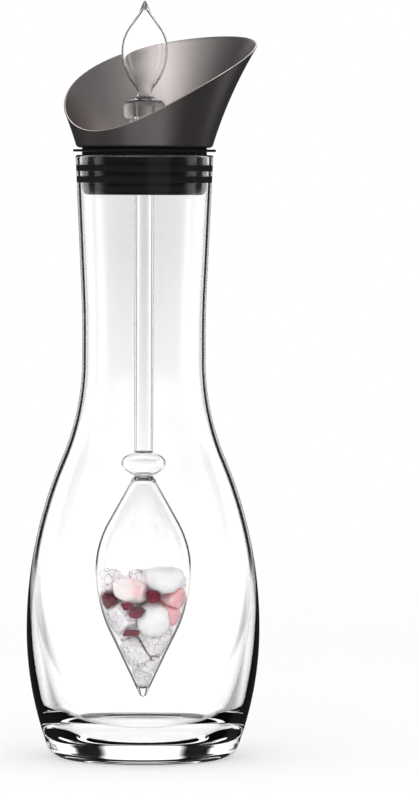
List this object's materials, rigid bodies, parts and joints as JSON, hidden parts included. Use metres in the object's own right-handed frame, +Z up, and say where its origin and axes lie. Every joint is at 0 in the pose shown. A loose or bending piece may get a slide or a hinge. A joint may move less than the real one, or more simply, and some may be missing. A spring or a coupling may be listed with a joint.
{
  "type": "gemstone water carafe",
  "caption": "Tall glass water carafe with a slant-cut steel pourer on a black sealed stopper and a hanging sealed glass vial of quartz and garnet stones.",
  "frame": {"origin": "on the carafe's axis, in the plane of the foot ring that it stands on", "axes": "+Z up along the axis of the carafe, +Y towards the pourer's spout, +X to the right of the spout"},
  "size_m": [0.1162, 0.1176, 0.3765],
  "materials": {
    "carafe_glass": "clear blown glass, fire-polished lip",
    "vial_glass": "clear lampworked borosilicate glass",
    "pourer_steel": "spun stainless steel, brushed round the axis",
    "stopper_plastic": "black moulded plastic, low gloss",
    "seal_silicone": "black food-grade silicone, satin",
    "clear_silicone": "clear food-grade silicone, slightly milky",
    "rose_quartz": "translucent pink tumbled stone",
    "white_quartz": "milky translucent tumbled stone",
    "clear_quartz": "clear to lilac crystal chip with inner cracks",
    "garnet": "deep red polished chip"
  },
  "bodies": {
    "carafe": {"carafe_glass": "carafe_glass"},
    "neck_seals": {"upper_seal_ring": "seal_silicone", "lower_seal_ring": "seal_silicone"},
    "lid": {"pourer_funnel": "pourer_steel", "pourer_gasket": "seal_silicone", "stopper_core": "stopper_plastic", "vial_holder": "stopper_plastic"},
    "vial": {"gem_vial": "vial_glass", "vial_grommet": "clear_silicone", "white_quartz_1": "white_quartz", "white_quartz_2": "white_quartz", "rose_quartz_1": "rose_quartz", "rose_quartz_2": "rose_quartz", "rose_quartz_3": "rose_quartz", "rose_quartz_4": "rose_quartz", "rose_quartz_5": "rose_quartz", "garnet_1": "garnet", "garnet_2": "garnet", "garnet_3": "garnet", "garnet_4": "garnet", "garnet_5": "garnet", "garnet_6": "garnet", "clear_quartz_1": "clear_quartz", "clear_quartz_2": "clear_quartz", "clear_quartz_3": "clear_quartz", "clear_quartz_4": "clear_quartz", "clear_quartz_5": "clear_quartz", "clear_quartz_6": "clear_quartz", "clear_quartz_7": "clear_quartz", "clear_quartz_8": "clear_quartz", "clear_quartz_9": "clear_quartz", "clear_quartz_10": "clear_quartz", "clear_quartz_11": "clear_quartz", "clear_quartz_12": "clear_quartz", "clear_quartz_13": "clear_quartz", "clear_quartz_14": "clear_quartz"}
  },
  "joints": [
    {"name": "lid_lift", "type": "slide", "parent": "carafe", "child": "neck_seals", "axis": [0, 0, 1], "range_m": [-0.0012, 0.29]},
    {"name": "lid_turn", "type": "hinge", "parent": "neck_seals", "child": "lid", "pos_m": [0, 0, 0.29], "axis": [0, 0, 1], "continuous": true},
    {"name": "vial_lift", "type": "slide", "parent": "lid", "child": "vial", "axis": [0, 0, 1], "range_m": [0, 0.15]}
  ]
}
